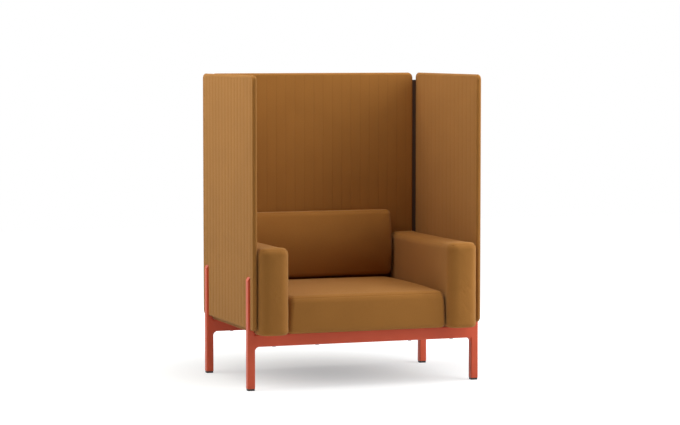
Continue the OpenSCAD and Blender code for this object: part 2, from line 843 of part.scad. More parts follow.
module seat_webbing() {
    span_d = seat_in_rear_y - seat_in_front_y - 2 * beam_w;
    count = floor((span_d - strap_w) / strap_pitch) + 1;
    strap_l = 2 * (seat_in_x - strap_end_gap);
    color(webbing_grey) placed()
        for (i = [0 : count - 1])
            translate([0, (seat_in_front_y + seat_in_rear_y) / 2 + (i - (count - 1) / 2) * strap_pitch,
                       beam_top_z + strap_t / 2])
                cube([strap_l, strap_w, strap_t], center = true);
}

module seat_foam() {
    color(foam_cream) placed()
        block([-seat_in_x, seat_in_front_y, foam_bottom_z], [seat_in_x, seat_in_rear_y, foam_top_z]);
}

module seat_base_cloth() {
    color(rubber_black) placed() difference() {
        block([-seat_in_x, seat_in_front_y, soft_bottom_z], [seat_in_x, seat_in_rear_y, beam_bottom_z]);
        at_seat_bolts() translate([0, 0, soft_bottom_z - cut])
            cylinder(h = cloth_t + 2 * cut, r = bolt_r + hole_slip);
    }
}

module seat_cover() {
    color(ochre) placed() difference() {
        translate([0, (seat_front_y + seat_rear_y) / 2, soft_bottom_z])
            pillow(2 * seat_half_w, seat_rear_y - seat_front_y, seat_h,
                seat_top_r + soft_corner, seat_top_r + soft_corner, seat_top_r, seat_bottom_r,
                crown = seat_crown, shift = seat_crown_shift_share,
                pull = seat_pull, belly = seat_belly);
        block([-seat_in_x, seat_in_front_y, soft_bottom_z - cut], [seat_in_x, seat_in_rear_y, foam_top_z]);
    }
}

// Back cushion: a board at its back, a foam block and a cover, hung on two clips

back_in_x = back_cushion_half_w - back_wall;
back_in_z0 = back_cushion_bottom_z + back_wall;
back_in_z1 = back_cushion_bottom_z + back_h - back_wall;
back_ply_y = back_cushion_rear_y - back_ply_t;

module back_board() {
    color(plywood) placed()
        block([-back_in_x, back_ply_y, back_in_z0], [back_in_x, back_cushion_rear_y, back_in_z1]);
}

module back_foam() {
    color(foam_cream) placed()
        block([-back_in_x, back_cushion_front_y + back_wall, back_in_z0],
            [back_in_x, back_ply_y, back_in_z1]);
}

module back_cover() {
    color(ochre) placed() difference() {
        translate([0, back_cushion_rear_y, back_cushion_bottom_z + back_h / 2]) rotate([90, 0, 0])
            pillow(2 * back_cushion_half_w, back_h, back_t - back_crown,
                back_r + soft_corner, back_r + soft_corner, back_r, back_rear_share * back_r,
                crown = back_crown, pull = back_pull);
        block([-back_in_x, back_cushion_front_y + back_wall, back_in_z0],
            [back_in_x, back_cushion_rear_y + cut, back_in_z1]);
    }
}

module back_clips() {
    middle_z = (back_in_z0 + back_in_z1) / 2;
    color(steel_grey) placed()
        for (side = [-1, 1])
            translate([side * clip_share * back_in_x, back_front_y - clip_t / 2, middle_z])
                cube([clip_w, clip_t, clip_h], center = true);
}

front_left_leg();
front_right_leg();
rear_left_leg();
rear_right_leg();
front_rail();
rear_rail();
left_bearer();
right_bearer();
rail_screws();
leg_plugs();
front_left_foot_pad();
front_right_foot_pad();
rear_left_foot_pad();
rear_right_foot_pad();
front_left_foot_stud();
front_right_foot_stud();
rear_left_foot_stud();
rear_right_foot_stud();
left_screen_board();
right_screen_board();
back_screen_board();
left_screen_cover();
right_screen_cover();
back_screen_cover();
left_corner_strip();
right_corner_strip();
screen_screws();
back_brackets();
bracket_screws();
left_arm_frame();
right_arm_frame();
left_arm_foam();
right_arm_foam();
left_arm_cover();
right_arm_cover();
arm_bolts();
seat_front_beam();
seat_rear_beam();
seat_left_beam();
seat_right_beam();
seat_webbing();
seat_foam();
seat_base_cloth();
seat_cover();
seat_bolts();
tee_nuts();
rubber_pads();
back_board();
back_foam();
back_cover();
back_clips();
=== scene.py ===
# %% [markdown]
# # A high back lounge chair with acoustic screens
#
# The chair is a painted tube frame that carries three tall quilted screens, two padded arms, a deep
# seat and a back cushion. The frame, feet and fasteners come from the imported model, and keep their
# shapes. Everything soft is made here, because cloth over wadding is never as straight as a solid.
#
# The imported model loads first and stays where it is. All lengths are in metres.

# %% Load the frame
import json
import math

import bmesh
import bpy
import numpy as np
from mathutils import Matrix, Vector

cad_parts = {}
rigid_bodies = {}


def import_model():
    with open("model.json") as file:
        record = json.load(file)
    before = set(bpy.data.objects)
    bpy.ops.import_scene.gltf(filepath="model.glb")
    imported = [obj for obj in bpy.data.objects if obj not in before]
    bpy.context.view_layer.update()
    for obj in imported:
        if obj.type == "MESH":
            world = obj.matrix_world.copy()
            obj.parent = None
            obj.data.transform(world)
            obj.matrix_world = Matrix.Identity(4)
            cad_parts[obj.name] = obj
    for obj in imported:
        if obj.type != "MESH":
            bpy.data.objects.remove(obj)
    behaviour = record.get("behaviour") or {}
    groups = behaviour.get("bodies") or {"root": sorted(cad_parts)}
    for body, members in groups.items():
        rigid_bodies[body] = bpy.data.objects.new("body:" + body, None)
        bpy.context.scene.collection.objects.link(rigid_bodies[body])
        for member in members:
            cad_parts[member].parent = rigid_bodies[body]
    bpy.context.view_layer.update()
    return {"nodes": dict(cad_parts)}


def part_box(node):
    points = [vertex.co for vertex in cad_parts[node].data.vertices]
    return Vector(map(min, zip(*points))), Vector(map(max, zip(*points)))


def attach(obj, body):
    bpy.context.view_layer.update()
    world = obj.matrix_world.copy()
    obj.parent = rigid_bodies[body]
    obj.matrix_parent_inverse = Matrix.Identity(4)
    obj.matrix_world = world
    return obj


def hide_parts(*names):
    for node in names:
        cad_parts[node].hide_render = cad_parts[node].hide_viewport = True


for thing in list(bpy.data.objects):
    bpy.data.objects.remove(thing)
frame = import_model()
MM = 0.001

# %% [markdown]
# ## Colours and nodes
#
# A colour is easiest to read as the hex value that a picture editor shows, but Blender's shaders work
# in linear light. One function turns the first into the second. A second one adds a shader node, sets
# it up and links it, so that a material reads as a list of what it is made of.

# %% Colour and node helpers
def linear(code):
    """An sRGB hex colour in linear light: each channel from 0 to 1, divided by 12.92 where it is
    small, or else (channel + 0.055) / 1.055 to the power 2.4."""
    channels = [int(code[i : i + 2], 16) / 255 for i in (1, 3, 5)]
    return [c / 12.92 if c <= 0.04045 else ((c + 0.055) / 1.055) ** 2.4 for c in channels] + [1.0]


def add(tree, kind, inputs, **settings):
    """Adds a node of a kind. settings are its own properties. inputs maps a socket's name or number
    to a value, or to the output of another node that feeds it."""
    made = tree.nodes.new("ShaderNode" + kind)
    for name, value in settings.items():
        setattr(made, name, value)
    for name, value in inputs.items():
        if isinstance(value, bpy.types.NodeSocket):
            tree.links.new(value, made.inputs[name])
        else:
            made.inputs[name].default_value = value
    return made


def new_material(name):
    """An empty material with its output node, and its node tree."""
    material = bpy.data.materials.new(name)
    material.use_nodes = True
    material.node_tree.nodes.clear()
    return material, material.node_tree


def finish_surface(tree, shader):
    """Feeds the surface with a shader."""
    add(tree, "OutputMaterial", {"Surface": shader.outputs[0]})


def bands(pitch):
    """The scale at which a wave texture has one band per pitch. Its bands lie 2 pi / 20 apart at
    scale 1."""
    return 2 * math.pi / 20 / pitch


print("linear ochre:", [round(c, 3) for c in linear("#9c6a38")])

# %% [markdown]
# ## Wool upholstery cloth
#
# All the padding is covered in one felted wool cloth in a melange ochre: threads of a slightly darker
# and a slightly lighter yarn, woven plain, then milled so that loose fibres lie on the face. To the eye
# that gives an even matt colour with a faint speckle, and a paler bloom where the cloth is seen at a
# low angle. The bloom is the shader's sheen, which is light caught by the standing fibres.
#
# The speckle is a noise with grains of 3 mm. The weave is two sets of bands that cross on the piece's
# own UV map, laid out in metres, so that it follows each panel of cloth. The real threads are 0.8 mm
# apart, which is too fine to show, so they are drawn 2.4 mm apart. Screens and cushions wear the same
# cloth, as two materials, so that either can be changed alone.

# %% Wool cloth
# The grain of the speckle, of the slow change of shade, and the threads as drawn
SPECKLE, SHADE_DRIFT, THREAD_PITCH = 3 * MM, 160 * MM, 2.4 * MM
# The painted shade along a seam or crease, and between which distances from it the cloth gets its own
# colour back
SEAM_PAINTED_SHADE, SEAM_SHADE_FROM, SEAM_SHADE_TO = 0.9, 0.4 * MM, 2.0 * MM


def wool_cloth(name, light, dark):
    """Melange wool: a speckle of two yarns, a slow change of shade, and crossed bands of thread. Next
    to a seam or crease the cloth is painted a little darker, as painted shade for its groove."""
    material, tree = new_material(name)
    place = add(tree, "TexCoord", {}).outputs["Object"]
    panel = add(tree, "UVMap", {}, uv_map="cloth").outputs["UV"]
    fine = {"Vector": place, "Scale": 1 / SPECKLE, "Detail": 2.0}
    slow = {"Vector": place, "Scale": 1 / SHADE_DRIFT, "Detail": 1.0}
    speckle = add(tree, "TexNoise", fine).outputs["Fac"]
    shade = add(tree, "TexNoise", slow).outputs["Fac"]
    warp = add(tree, "TexWave", {"Vector": panel, "Scale": bands(THREAD_PITCH)}, bands_direction="X")
    weft = add(tree, "TexWave", {"Vector": panel, "Scale": bands(THREAD_PITCH)}, bands_direction="Y")
    crossed = {0: warp.outputs["Fac"], 1: weft.outputs["Fac"]}
    weave = add(tree, "Math", crossed, operation="MULTIPLY").outputs[0]
    yarn = add(tree, "Math", {0: speckle, 1: 0.55, 2: 0.12}, operation="MULTIPLY_ADD").outputs[0]
    drift = add(tree, "Math", {0: shade, 1: 0.35, 2: yarn}, operation="MULTIPLY_ADD").outputs[0]
    mixed = add(tree, "Math", {0: weave, 1: 0.12, 2: drift}, operation="MULTIPLY_ADD").outputs[0]
    colour = add(tree, "Mix", {0: mixed, 6: linear(dark), 7: linear(light)}, data_type="RGBA").outputs[2]
    # Painted shade: the colour is darkened to 0.9 next to a seam or crease and comes back by 2 mm from
    # it, standing in for the shadow in its groove
    seam = add(tree, "Attribute", {}, attribute_name="seam").outputs["Fac"]
    seam_painted_shade = add(tree, "MapRange", {0: seam, 1: SEAM_SHADE_FROM, 2: SEAM_SHADE_TO, 3: SEAM_PAINTED_SHADE, 4: 1.0}).outputs[0]
    sewn = add(tree, "Mix", {0: 1.0, 6: colour, 7: seam_painted_shade}, data_type="RGBA", blend_type="MULTIPLY")
    threads = add(tree, "Bump", {"Height": weave, "Strength": 0.5, "Distance": 0.35 * MM})
    fuzz = add(
        tree,
        "Bump",
        {"Height": speckle, "Strength": 0.6, "Distance": 0.5 * MM, "Normal": threads.outputs[0]},
    )
    cloth = add(
        tree,
        "BsdfPrincipled",
        {
            "Base Color": sewn.outputs[2],
            "Roughness": 0.95,
            "Specular IOR Level": 0.15,
            "Sheen Weight": 0.35,
            "Sheen Roughness": 0.5,
            "Sheen Tint": linear("#f2d2a4"),
            "Normal": fuzz.outputs[0],
        },
    )
    finish_surface(tree, cloth)
    return material


screen_cloth = wool_cloth("quilted ochre wool", "#af773a", "#8f5f2a")
seat_cloth = wool_cloth("smooth ochre wool", "#af773a", "#8f5f2a")
print("cloths:", screen_cloth.name, "and", seat_cloth.name)

# %% [markdown]
# ## Painted steel
#
# Legs, rails, bearers and brackets are steel with a powder coat in coral red, baked on as dry powder.
# It gives the eye a satin face with a soft, wide highlight and a very fine orange peel, some 2 mm from
# crest to crest and a few hundredths of a millimetre high. The coat is an insulator, so it isn't
# metallic. It keeps the usual IOR of 1.5, with the mirror part a little weaker, as on a satin coat.

# %% Powder coat
PAINT_DRIFT, ORANGE_PEEL, PEEL_HEIGHT = 60 * MM, 2 * MM, 0.06 * MM


def powder_coat(name, light, dark):
    """Baked paint: two close shades in a slow noise, and a fine orange peel."""
    material, tree = new_material(name)
    place = add(tree, "TexCoord", {}).outputs["Object"]
    slow = {"Vector": place, "Scale": 1 / PAINT_DRIFT, "Detail": 2.0}
    fine = {"Vector": place, "Scale": 1 / ORANGE_PEEL, "Detail": 1.0}
    drift = add(tree, "TexNoise", slow).outputs["Fac"]
    peel = add(tree, "TexNoise", fine).outputs["Fac"]
    colour = add(tree, "Mix", {0: drift, 6: linear(dark), 7: linear(light)}, data_type="RGBA")
    rough = add(tree, "Math", {0: peel, 1: 0.1, 2: 0.4}, operation="MULTIPLY_ADD")
    face = add(tree, "Bump", {"Height": peel, "Strength": 0.35, "Distance": PEEL_HEIGHT})
    paint = add(
        tree,
        "BsdfPrincipled",
        {
            "Base Color": colour.outputs[2],
            "Roughness": rough.outputs[0],
            "Specular IOR Level": 0.35,
            "Normal": face.outputs[0],
        },
    )
    finish_surface(tree, paint)
    return material


coral_coat = powder_coat("coral powder coat on steel", "#dd5e3f", "#d6583a")
print("paint:", coral_coat.name)

# %% [markdown]
# ## The small and hidden finishes
#
# The feet are moulded black nylon, the pads on the frame are black rubber, and screws, bolts and studs
# are zinc plated steel. Inside the upholstery there are birch plywood, polyether foam, webbing and a
# thin black base cloth, and the screens hold a board of pressed fibre. Each has one noise or band
# pattern at its own real scale: the grain of plywood is drawn out along the board, the cells of the
# foam are round, the ribs of the webbing run along the strap.

# %% Small finishes
def plain_finish(name, light, dark, grain, rough, bump, metallic=0.0, stretch=(1, 1, 1), specular=0.5):
    """One noise with grains of the given size, drawn out by stretch, mixes two shades and raises the
    face by bump. rough is the roughness of the shader."""
    material, tree = new_material(name)
    place = add(tree, "TexCoord", {}).outputs["Object"]
    drawn = add(tree, "Mapping", {"Vector": place, "Scale": stretch})
    grains = {"Vector": drawn.outputs[0], "Scale": 1 / grain, "Detail": 3.0}
    noise = add(tree, "TexNoise", grains).outputs["Fac"]
    colour = add(tree, "Mix", {0: noise, 6: linear(dark), 7: linear(light)}, data_type="RGBA")
    face = add(tree, "Bump", {"Height": noise, "Strength": 0.5, "Distance": bump})
    shader = add(
        tree,
        "BsdfPrincipled",
        {
            "Base Color": colour.outputs[2],
            "Roughness": rough,
            "Metallic": metallic,
            "Specular IOR Level": specular,
            "Normal": face.outputs[0],
        },
    )
    finish_surface(tree, shader)
    return material


# Moulded nylon: near black, with the dull shine of a glide that has slid on floors
nylon = plain_finish("moulded black nylon", "#25211f", "#161312", 6 * MM, 0.5, 0.05 * MM)
# Rubber: black and matt
rubber = plain_finish("black rubber", "#1f1d1c", "#141312", 2 * MM, 0.8, 0.1 * MM, specular=0.3)
# Zinc plate: pale blue grey, satin, brushed along by the barrel it was plated in
zinc = plain_finish("zinc plated steel", "#c3c6ca", "#9ea2a8", 1.5 * MM, 0.32, 0.02 * MM, metallic=1.0)
# Birch plywood: cream, with grain 1.5 mm wide and ten times as long
birch = plain_finish("birch plywood", "#d2b283", "#b9935f", 1.5 * MM, 0.6, 0.1 * MM, stretch=(1, 0.1, 1))
# Polyether foam: round open cells of 1 mm
foam = plain_finish("polyether foam", "#e6dbb8", "#cdbf97", 1 * MM, 0.95, 0.4 * MM, specular=0.1)
# Polypropylene webbing: grey, ribbed along the strap
webbing = plain_finish(
    "woven webbing", "#5a5755", "#3c3a38", 1.2 * MM, 0.8, 0.3 * MM, stretch=(0.1, 1, 1)
)
# Spun base cloth: thin, black and matt, with lying fibres
base_cloth = plain_finish("spun black base cloth", "#211f1e", "#121110", 1.5 * MM, 0.9, 0.1 * MM)
# Pressed fibre board: grey brown felted fibre
fibre = plain_finish("pressed fibre board", "#716b64", "#59544e", 2.5 * MM, 0.95, 0.3 * MM, specular=0.1)
# Joining strip: extruded plastic with a fine matt grain, in a dark brown that paints the shade of the
# deep gap between the back and side screens
strip_finish_painted_shade = plain_finish("joining strip in painted shade", "#40250f", "#2e1a0a", 1 * MM, 0.6, 0.05 * MM)
SMALL_FINISHES = [nylon, rubber, zinc, birch, foam, webbing, base_cloth, fibre, strip_finish_painted_shade]
print("small finishes:", ", ".join(finish.name for finish in SMALL_FINISHES))

# %% [markdown]
# ## Dress the frame
#
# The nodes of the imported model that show, or that show from below, keep their shape and get the finish
# of the real piece. Each name says what it is, so the finish can be chosen by the words in it.

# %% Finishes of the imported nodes
FINISH_OF = [
    (("leg_plugs",), nylon),
    (("foot_pad",), nylon),
    (("rubber_pads",), rubber),
    (("stud", "screws", "bolts", "tee_nuts", "clips"), zinc),
    (("screen_board",), fibre),
    (("strip",), strip_finish_painted_shade),
    (("foam",), foam),
    (("webbing",), webbing),
    (("base_cloth",), base_cloth),
    (("arm_frame", "beam", "back_board"), birch),
    (("leg", "rail", "bearer", "brackets"), coral_coat),
]
COVERS = [name for name in frame["nodes"] if name.endswith("_cover")]
for name, solid in frame["nodes"].items():
    if name not in COVERS:
        finish = next(m for words, m in FINISH_OF if any(w in name for w in words))
        solid.data.materials.clear()
        solid.data.materials.append(finish)
print("dressed:", len(frame["nodes"]) - len(COVERS), "nodes; to be replaced:", sorted(COVERS))

# %% [markdown]
# ## From a grid of points to a piece
#
# Every soft piece starts as arrays of points, worked out by a formula. Grids that share an edge are
# joined into one closed skin by merging the points that coincide. Each point also keeps how far it
# lies from the nearest seam, in metres, so that the seams can be pressed in later and the material
# can paint shade along them. The weave needs a UV map in metres: each face takes the two coordinates
# that it lies along, as if its panel had been cut flat.

# %% Grids, skins and cloth maps
def grid_faces(rows, columns, start=0):
    """The four-cornered faces of a grid whose points are numbered row by row from start."""
    corner = start + np.arange(rows * columns).reshape(rows, columns)
    around = [corner[:-1, :-1], corner[:-1, 1:], corner[1:, 1:], corner[1:, :-1]]
    return np.stack(around, axis=-1).reshape(-1, 4)


def skin(name, grids, seams):
    """One closed mesh from several grids of points, with each point's distance to a seam: coinciding
    points are merged, and the faces are turned outwards."""
    counts = np.cumsum([0] + [grid.shape[0] * grid.shape[1] for grid in grids])
    faces = [grid_faces(*grid.shape[:2], start) for grid, start in zip(grids, counts)]
    mesh = bpy.data.meshes.new(name)
    mesh.from_pydata(np.concatenate([grid.reshape(-1, 3) for grid in grids]), [], np.concatenate(faces))
    away = np.concatenate([seam.ravel() for seam in seams]).astype(np.float32)
    mesh.attributes.new("seam", "FLOAT", "POINT").data.foreach_set("value", away)
    work = bmesh.new()
    work.from_mesh(mesh)
    bmesh.ops.remove_doubles(work, verts=work.verts, dist=0.01 * MM)
    bmesh.ops.recalc_face_normals(work, faces=work.faces)
    work.to_mesh(mesh)
    work.free()
    mesh.shade_smooth()
    piece = bpy.data.objects.new(name, mesh)
    bpy.context.scene.collection.objects.link(piece)
    return piece


def read(items, key, width, kind=np.float32):
    """One property of all items as an array, a row for each item."""
    flat = np.empty(len(items) * width, kind)
    items.foreach_get(key, flat)
    return flat.reshape(-1, width) if width > 1 else flat


def node_box(node):
    """The lowest and the highest corner of a node's box, as arrays."""
    low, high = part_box(node)
    return np.array(low), np.array(high)


def move_points(mesh, points):
    """Puts the mesh's points where the array says."""
    mesh.vertices.foreach_set("co", points.astype(np.float32).ravel())
    mesh.update()


def lay_cloth(mesh):
    """A UV map in metres: a face that looks along one axis takes the other two coordinates."""
    points = read(mesh.vertices, "co", 3)
    looks_along = np.abs(read(mesh.polygons, "normal", 3)).argmax(axis=1)
    across = np.array([[1, 2], [0, 2], [0, 1]])[looks_along]
    axes = np.repeat(across, read(mesh.polygons, "loop_total", 1, np.int32), axis=0)
    flat = np.take_along_axis(points[read(mesh.loops, "vertex_index", 1, np.int32)], axes, axis=1)
    mesh.uv_layers.new(name="cloth").data.foreach_set("uv", flat.ravel())


def dress(piece, material, node):
    """The last step of each soft piece: its cloth, its body, and the node it stands for."""
    lay_cloth(piece.data)
    piece.data.materials.append(material)
    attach(piece, "chair")
    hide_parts(node)
    low, high = np.array(piece.bound_box)[[0, 6]] / MM
    print(f"{piece.name}: {len(piece.data.polygons)} faces, from {low.round(1)} to {high.round(1)} mm")


# %% [markdown]
# ## Quilted screens
#
# A screen is a pressed board, wadding on both faces and a wool cover. The cover is sewn through the
# wadding in upright lines 47 mm apart, so each face is a row of shallow tubes with a sharp crease
# between them. The creases die out before they reach the rim. Around the rim runs a separate narrow
# band of cloth, joined to each face by a seam that sinks in a little. The creases show much more on
# the outer faces than on the inner ones, so they are sewn deeper there. The legs' blades press the
# cloth in.
#
# A face is a height over a flat grid, which is simpler than sewing and as close as the eye can see.
# The grid's columns crowd together at the creases and the rim, where the height changes fast.

# %% Screen surface
# The sewn lines: how far apart they are, and how far from a side the first may be
CREASE_PITCH, CREASE_MARGIN = 47 * MM, 25 * MM
# A crease is a narrow V in a wide hollow: the depths of both on each face, and their reach
CREASE_DEPTHS = {"outer": (2.2 * MM, 0.9 * MM), "inner": (0.5 * MM, 0.25 * MM)}
V_REACH, HOLLOW_REACH, FADE_REACH = 1.8 * MM, 9 * MM, 9 * MM
# The rim: its corner radius, how far it turns, and where its seam lies and how deep
CORNER, RIM_REACH, RIM_SEAM, RIM_NOTCH = 25 * MM, 11 * MM, 3.1 * MM, 1.1 * MM
# How far a blade presses the cloth in, and the way in which the cloth comes back beside it
BLADE_PRESS, BLADE_SLOPE = 3.4 * MM, 7 * MM
# The grid: its lines beside a crease and inside the rim, and the rows between
CREASE_STEPS = MM * np.array([0, 0.9, 1.8, 2.8, 5, 10, 16, 23.5])
RIM_STEPS = MM * np.array(
    [0, 0.3, 0.8, 1.4, 2, 2.6, 3.1, 3.6, 4.2, 5, 6.3, 8, 10.5, 13.5, 17, 22, 28, 35]
)
RIM_CLEAR, LEAST_STEP, ROWS_BETWEEN = 10.5 * MM, 0.25 * MM, 96


def grid_columns(half_w, lines):
    """Where a face has its columns: the rim's steps at both sides, and the steps around each crease
    that are clear of the rim, without those within the least step of the one before."""
    around = (lines[:, None] + np.concatenate([-CREASE_STEPS[:0:-1], CREASE_STEPS])).ravel()
    around = around[np.abs(around) < half_w - RIM_CLEAR]
    x = np.unique(np.concatenate([RIM_STEPS - half_w, around, half_w - RIM_STEPS]).round(6))
    return x[np.diff(x, prepend=-1) > LEAST_STEP]


def inside_rim(x, z, half_w, half_h):
    """How far a point lies inside a rectangle with round corners: the corner radius, less how far the
    point is from the rectangle that is that radius smaller."""
    past_x, past_z = np.abs(x) - half_w + CORNER, np.abs(z) - half_h + CORNER
    outside = np.hypot(np.maximum(past_x, 0), np.maximum(past_z, 0))
    return np.maximum(CORNER - outside - np.minimum(np.maximum(past_x, past_z), 0), 0)


def screen_face(width, height, thick, depths):
    """One face of a screen. Half its thickness is a quarter ellipse over the rim and flat within it,
    less a bell-shaped notch at the seam, less a narrow V and a wide hollow at each sewn line. V and
    hollow have the two depths, times a smooth step that fades them out towards the rim."""
    half_w, half_h = width / 2, height / 2
    count = int((width - 2 * CREASE_MARGIN) / CREASE_PITCH) + 1
    lines = (np.arange(count) - (count - 1) / 2) * CREASE_PITCH
    x = grid_columns(half_w, lines)
    past = np.clip(np.abs(x) - half_w + CORNER, 0, CORNER)
    top = half_h - CORNER + np.sqrt(CORNER**2 - past**2)
    between = np.linspace(-1, 1, ROWS_BETWEEN + 2)[1:-1, None] * (top - RIM_STEPS[-1])
    z = np.concatenate([-top + RIM_STEPS[:, None], between, top - RIM_STEPS[::-1, None]])
    x = np.broadcast_to(x, z.shape)
    inside = inside_rim(x, z, half_w, half_h)
    half = thick / 2 * np.sqrt(1 - (1 - np.minimum(inside / RIM_REACH, 1)) ** 2)
    half = half - RIM_NOTCH * np.exp(-(((inside - RIM_SEAM) / RIM_NOTCH) ** 2))
    beside = np.abs(x[..., None] - lines).min(axis=-1)
    fade = np.clip((inside - FADE_REACH) / FADE_REACH, 0, 1)
    crease = depths[0] * np.clip(1 - beside / V_REACH, 0, 1)
    crease = crease + depths[1] * np.exp(-((beside / HOLLOW_REACH) ** 2))
    half = half - crease * fade * fade * (3 - 2 * fade)
    half[inside < 0.001 * MM] = 0
    # The distance to a crease or to the rim seam, near which the cloth's material paints shade
    sewn = np.where(fade > 0.3, beside, 1)
    return x, z, half, np.minimum(sewn, np.abs(inside - RIM_SEAM))


def pressed(face, legs, outer):
    """Presses the outer face of a side screen in behind the blades of its legs. outer is the side, -1
    or 1. Next to a blade the cloth comes back by a smooth step."""
    reach = outer * face[..., 0]
    share = np.zeros(reach.shape)
    for leg in legs:
        low, high = node_box(leg)
        beside = np.maximum(low[1] - face[..., 1], face[..., 1] - high[1])
        past = np.clip(np.maximum(beside, face[..., 2] - high[2]) / BLADE_SLOPE, 0, 1)
        share = np.maximum(share, 1 - past * past * (3 - 2 * past))
    face[..., 0] -= outer * share * np.maximum(reach - reach.max() + BLADE_PRESS, 0)
    return face


def screen(name, across, legs=()):
    """A whole screen in the box of its node: two faces, of which the outer looks away from the seat.
    across is the axis of its width, 0 for x and 1 for y. Its legs press into its outer face."""
    low, high = node_box(name + "_cover")
    size, middle = high - low, (low + high) / 2
    faces, seams = [], []
    for side in (1, -1):
        outer = side * middle[1 - across] > 0
        depths = CREASE_DEPTHS["outer" if outer else "inner"]
        x, z, half, away = screen_face(size[across], size[2], size[1 - across], depths)
        face = np.zeros(x.shape + (3,))
        face[..., across], face[..., 1 - across], face[..., 2] = x, side * half, z
        faces.append(pressed(face + middle, legs, side) if outer else face + middle)
        seams.append(away)
    piece = skin(name, faces, seams)
    dress(piece, screen_cloth, name + "_cover")


screen("left_screen", 1, ("front_left_leg", "rear_left_leg"))
screen("right_screen", 1, ("front_right_leg", "rear_right_leg"))
screen("back_screen", 0)

# %% [markdown]
# ## Cushions
#
# Arms, seat and back cushion are blocks of foam in wool covers. A cover is a top panel, sewn to a band
# that runs round the sides, so its seam follows the outline of the top. On the back cushion that panel
# is the front. The foam is cut a little larger than the cover, which pulls the cloth tight: the faces
# swell, the edges turn softly, and the corners stay a little behind.
#
# The block starts as a cube's six grids, pushed out to a box with round edges. Each grid is one face,
# so the seam runs where the panel's grid meets the others.

# %% Cushion block
def lines_along(length, spacing, turns=6):
    """The grid lines along one axis: their share of the flat part, from -1 to 1, and their lean in
    the round edges, the tangent of an angle of up to 45 degrees."""
    flat = np.linspace(-1, 1, round(length / spacing) + 1)
    lean = np.tan(np.linspace(0, math.pi / 4, turns + 1))[1:]
    share = np.concatenate([-np.ones(turns), flat, np.ones(turns)])
    return share, np.concatenate([-lean[::-1], np.zeros(len(flat)), lean])


def block(size, plan, edge, spacing, panel):
    """The six grids of a block with round edges, and each point's distance to the seam. panel is the
    axis and side of the panel, and the block stands along that axis. Across it the corners have the
    plan radius, and next to both ends the edges turn with the edge radius. plan goes from one value
    to another along the last axis across, edge along the panel's axis, and a corner is never tighter
    than its edge. A point is its share of the inner block, plus its direction times a reach:
    plan - edge + edge * level across, edge * rise along, where level and rise are the direction's
    parts. The seam is where the turn to the panel is half done. The distance is the flat way plus
    the arc, or 1 m for a point not next to the panel."""
    up, top = panel
    flat = [k for k in range(3) if k != up]
    tables = [lines_along(length, spacing) for length in size]
    grids, seams = [], []
    for normal in range(3):
        a, b = (normal + 1) % 3, (normal + 2) % 3
        for side in (-1, 1):
            share = np.full((len(tables[a][0]), len(tables[b][0]), 3), float(side))
            lean = share.copy()
            share[..., a], lean[..., a] = tables[a][0][:, None], tables[a][1][:, None]
            share[..., b], lean[..., b] = tables[b]
            out = lean / np.linalg.norm(lean, axis=-1, keepdims=True)
            level = np.linalg.norm(out[..., flat], axis=-1, keepdims=True)
            corner = plan[0] + (plan[1] - plan[0]) * (share[..., flat[1:]] + 1) / 2
            turn = edge[0] + (edge[1] - edge[0]) * (share[..., [up]] + 1) / 2
            corner = np.maximum(corner, turn)
            reach = (corner - turn + turn * level) / np.maximum(level, 1e-9)
            inner = size / 2 - np.where(np.arange(3) == up, turn, corner)
            grids.append(share * inner + out * np.where(np.arange(3) == up, turn, reach))
            arc = turn * (math.pi / 4 - np.arctan(np.abs(lean)))
            way = (1 - np.abs(share)) * inner + np.where(lean == 0, corner - turn, 0) + arc
            if normal == up:
                seams.append(way[..., flat].min(axis=-1) if side == top else np.ones(share.shape[:2]))
            else:
                beside = share[..., up] * top > 0
                seams.append(np.where(beside, ((1 - np.abs(share)) * inner + arc)[..., up], 1.0))
    return grids, seams


def cut_to_shape(points, size, panel, crown, peak, fall, belly):
    """The cut of the cover. Its panel rises to a crown: a parabola along the second axis across that is
    highest at peak, from -1 to 1, times a bell of the fourth power along the first that loses the share
    fall at its ends. The sides step in towards panel and base by belly."""
    up, top = panel
    a, b = [k for k in range(3) if k != up]
    u, v = 2 * points[..., a] / size[a], 2 * points[..., b] / size[b]
    t = top * points[..., up] / size[up] + 0.5
    step = belly * (2 * t - 1) ** 2
    cut = points.copy()
    cut[..., a] -= u * step
    cut[..., b] -= v * step
    cut[..., up] += top * t * crown * (1 - fall * u**4) * (1 - ((v - peak) / (1 + abs(peak))) ** 2)
    return cut


# %% [markdown]
# The blowing up is Blender's own cloth. Gravity is off, the air pressure is 4, and the side that is
# stapled to wood is pinned. After 20 steps the cloth has blown up far more than a filled cushion, so
# all its moves are scaled down together, along each axis, until the farthest one is the swell wanted
# there. That keeps the form of the swelling. One subdivision then smooths the skin for its seam.

# %% Blow up and smooth
def pin(piece, axis, side, depth=8 * MM):
    """Holds the points that lie within a depth of one side of the piece: the side it is stapled on."""
    reach = read(piece.data.vertices, "co", 3)[:, axis] * side
    held = piece.vertex_groups.new(name="stapled")
    held.add(np.flatnonzero(reach > reach.max() - depth).tolist(), 1.0, "REPLACE")


def blow_up(pieces, steps=20, pressure=4.0):
    """Runs the cloth of all pieces together, then keeps each point's move, scaled to the swell."""
    for piece, _ in pieces:
        cloth = piece.modifiers.new("Cloth", "CLOTH")
        cloth.settings.use_pressure = True
        cloth.settings.uniform_pressure_force = pressure
        cloth.settings.vertex_group_mass = "stapled"
        cloth.settings.effector_weights.gravity = 0
        cloth.point_cache.frame_end = steps
    for step in range(1, steps + 1):
        bpy.context.scene.frame_set(step)
    drawn = bpy.context.evaluated_depsgraph_get()
    for piece, swell in pieces:
        before = read(piece.data.vertices, "co", 3)
        move = read(piece.evaluated_get(drawn).data.vertices, "co", 3) - before
        far = np.abs(move).max(axis=0)
        piece.modifiers.clear()
        piece.vertex_groups.clear()
        move_points(piece.data, before + move * np.minimum(swell / far, 1))
        moved, kept = (far / MM).round(1), (swell / MM).round(1)
        print(f"{piece.name}: the cloth moved {moved} mm, kept to {kept} mm")
    bpy.context.scene.frame_set(1)


